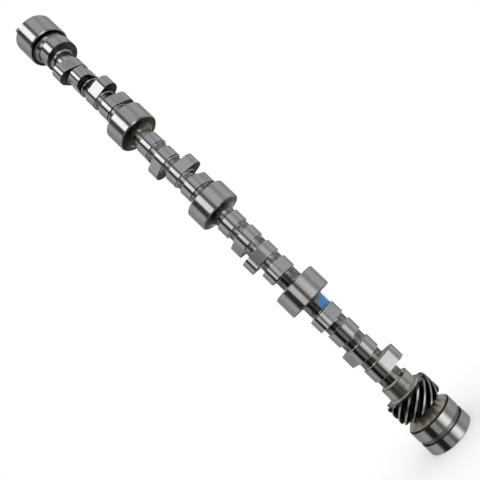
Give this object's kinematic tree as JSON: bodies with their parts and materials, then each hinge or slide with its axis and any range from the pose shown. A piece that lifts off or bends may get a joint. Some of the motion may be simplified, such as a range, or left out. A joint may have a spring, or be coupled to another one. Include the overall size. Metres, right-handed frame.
{
  "type": "camshaft",
  "caption": "One-piece steel camshaft with plain journals, roller lobes, a pump eccentric, a helical distributor gear, and a dowel pin in its nose.",
  "frame": {"origin": "centre of the rear face, which the shaft stands on", "axes": "+Z along the shaft's axis towards the timing gear end; +X from the axis towards the dowel pin"},
  "size_m": [0.0474, 0.0474, 0.5947],
  "materials": {
    "shaft_steel": "ground journals and lobes, dark rough core",
    "pin_steel": "ground"
  },
  "bodies": {
    "root": {"camshaft": "shaft_steel", "dowel_pin": "pin_steel"}
  },
  "joints": []
}
